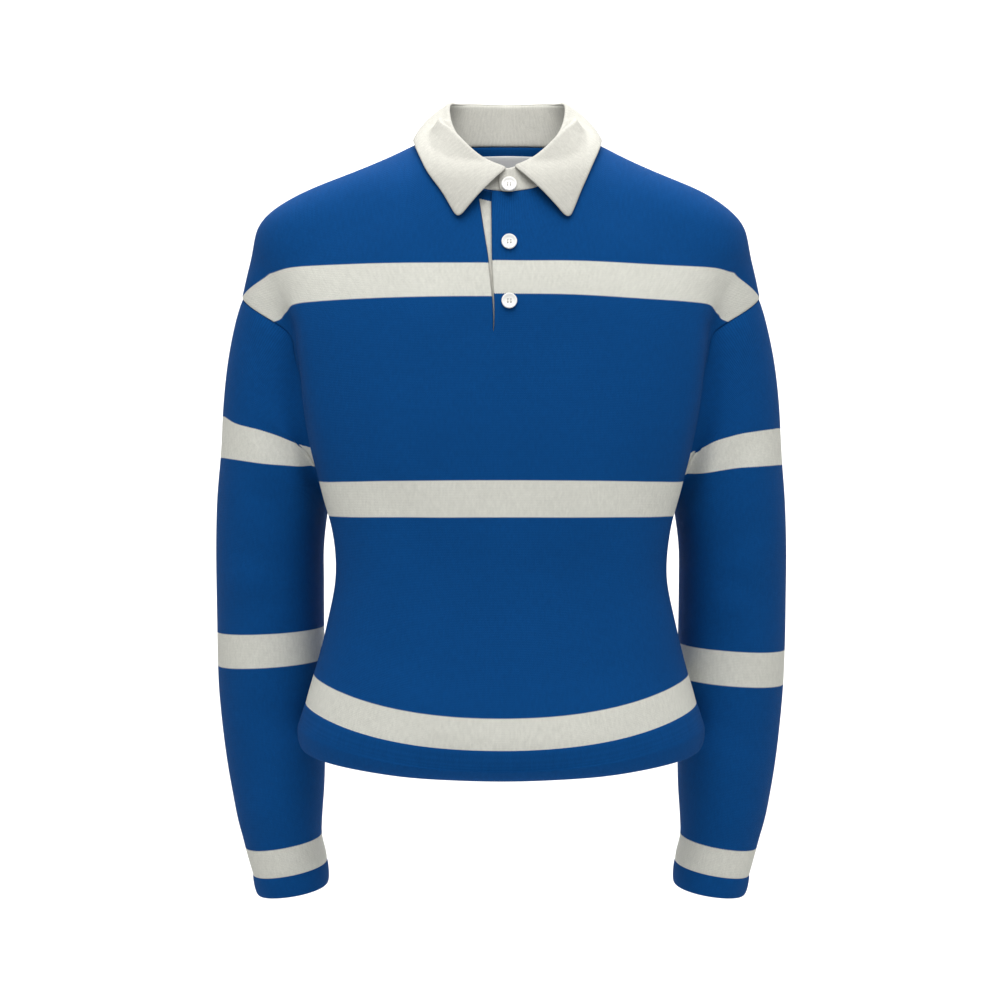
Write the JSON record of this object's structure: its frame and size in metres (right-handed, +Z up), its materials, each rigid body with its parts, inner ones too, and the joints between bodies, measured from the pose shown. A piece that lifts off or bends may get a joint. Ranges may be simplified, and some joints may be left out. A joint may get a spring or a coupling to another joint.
{
  "type": "polo shirt",
  "caption": "Knitted long-sleeved polo shirt with a turned-down collar, button placket, broad stripes and doubled hem and cuffs, filled out as if worn.",
  "frame": {"origin": "middle of the neck, level with the top of the shoulders, where the wearer carries the shirt", "axes": "+Z up, -Y towards the front of the shirt, +X towards the wearer's left"},
  "size_m": [0.5516, 0.2402, 0.7708],
  "materials": {
    "front_panel": "plain knitted cotton, royal blue with broad cream stripes in the looks",
    "back_panel": "plain knitted cotton, royal blue with broad cream stripes in the looks",
    "sleeve_left": "plain knitted cotton, royal blue with broad cream stripes in the looks",
    "sleeve_right": "plain knitted cotton, royal blue with broad cream stripes in the looks",
    "hem_band": "plain knitted cotton, royal blue with broad cream stripes in the looks",
    "cuff_left": "plain knitted cotton, royal blue with broad cream stripes in the looks",
    "cuff_right": "plain knitted cotton, royal blue with broad cream stripes in the looks",
    "collar_stand": "flat-knit cotton, cream",
    "collar_leaf": "flat-knit cotton, cream",
    "placket_top": "plain knitted cotton, royal blue with broad cream stripes in the looks",
    "placket_under": "flat-knit cotton, cream",
    "button_top": "white, semi-gloss",
    "button_middle": "white, semi-gloss",
    "button_low": "white, semi-gloss",
    "neck_label": "plain white woven tape"
  },
  "bodies": {
    "root": {"front_panel": "front_panel", "back_panel": "back_panel", "sleeve_left": "sleeve_left", "sleeve_right": "sleeve_right", "hem_band": "hem_band", "cuff_left": "cuff_left", "cuff_right": "cuff_right", "collar_stand": "collar_stand", "collar_leaf": "collar_leaf", "placket_top": "placket_top", "placket_under": "placket_under", "button_top": "button_top", "button_middle": "button_middle", "button_low": "button_low", "neck_label": "neck_label"}
  },
  "joints": []
}
